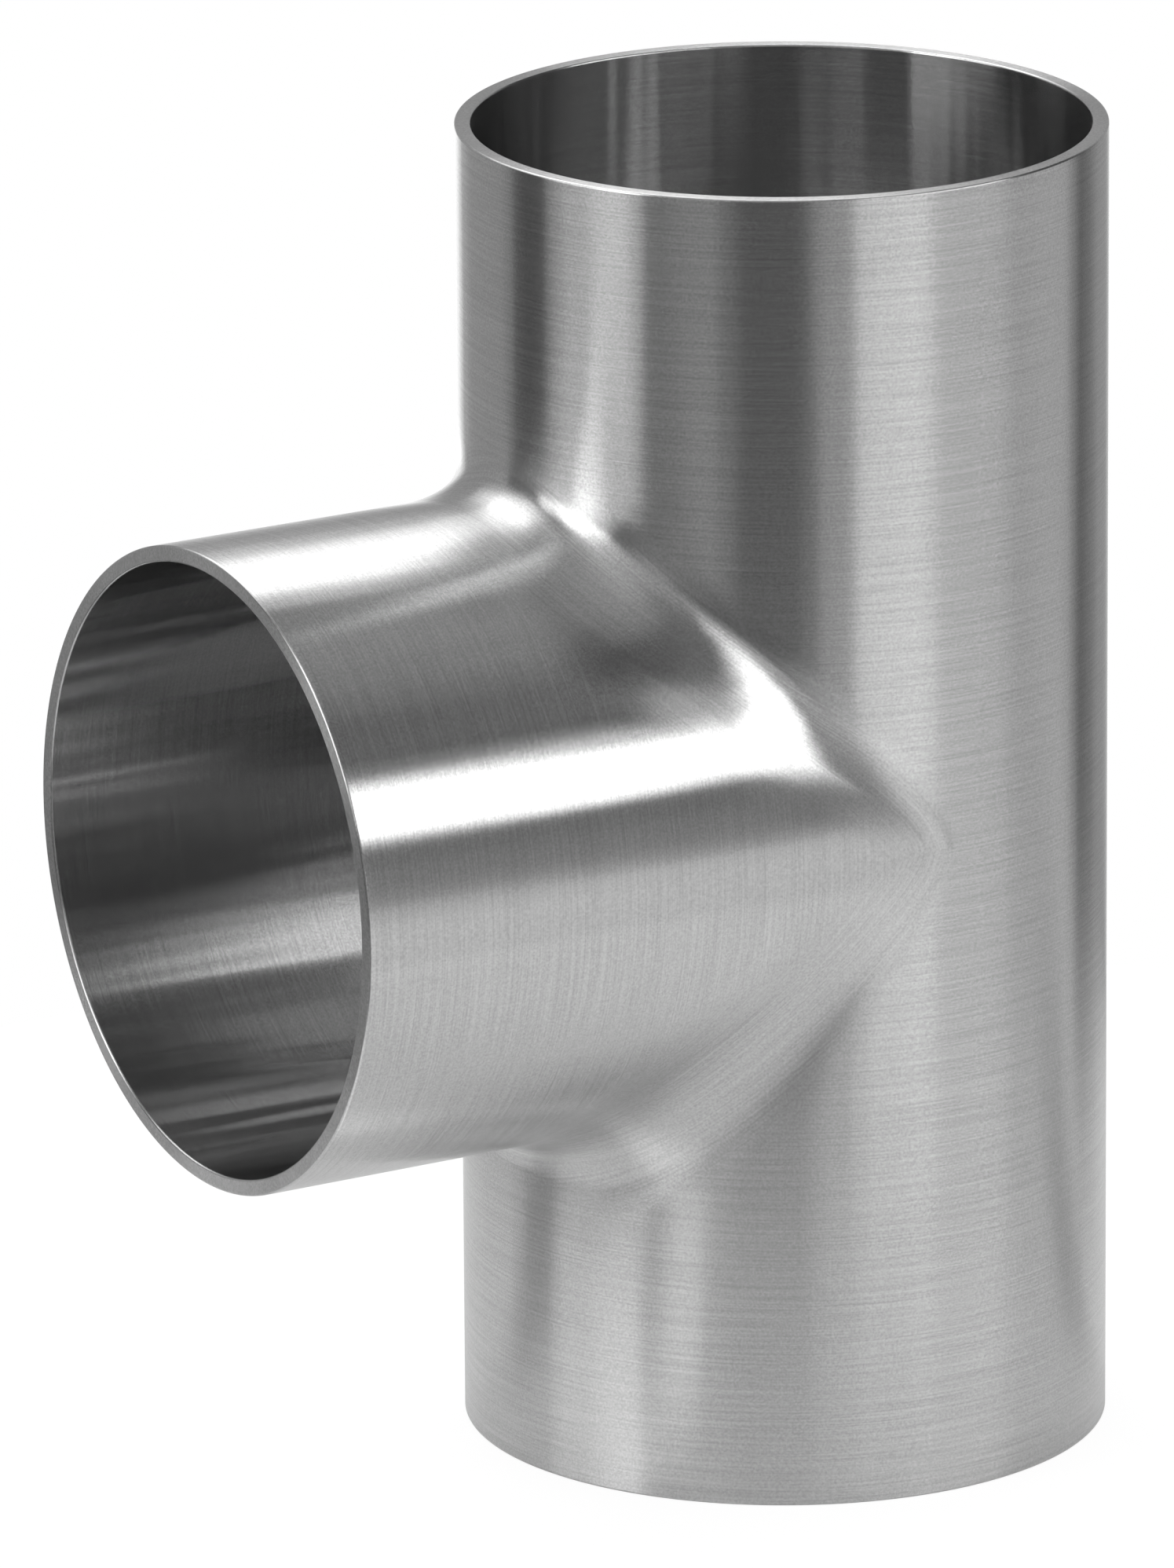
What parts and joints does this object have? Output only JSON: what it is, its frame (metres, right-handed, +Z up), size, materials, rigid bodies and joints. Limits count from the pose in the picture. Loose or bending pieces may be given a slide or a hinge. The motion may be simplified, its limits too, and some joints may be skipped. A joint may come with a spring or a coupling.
{
  "type": "butt weld tube tee",
  "caption": "Thin-walled tube tee for butt welding: a straight open run with an equal branch formed out at right angles, blended crotch, plain square ends, brushed.",
  "frame": {"origin": "where the axes of the run and the branch cross", "axes": "+Z up along the run, -X along the branch, +Y square to both"},
  "size_m": [0.1556, 0.1016, 0.2096],
  "materials": {
    "brushed_stainless": "brushed round each tube, satin"
  },
  "bodies": {
    "root": {"tee_body": "brushed_stainless"}
  },
  "joints": []
}
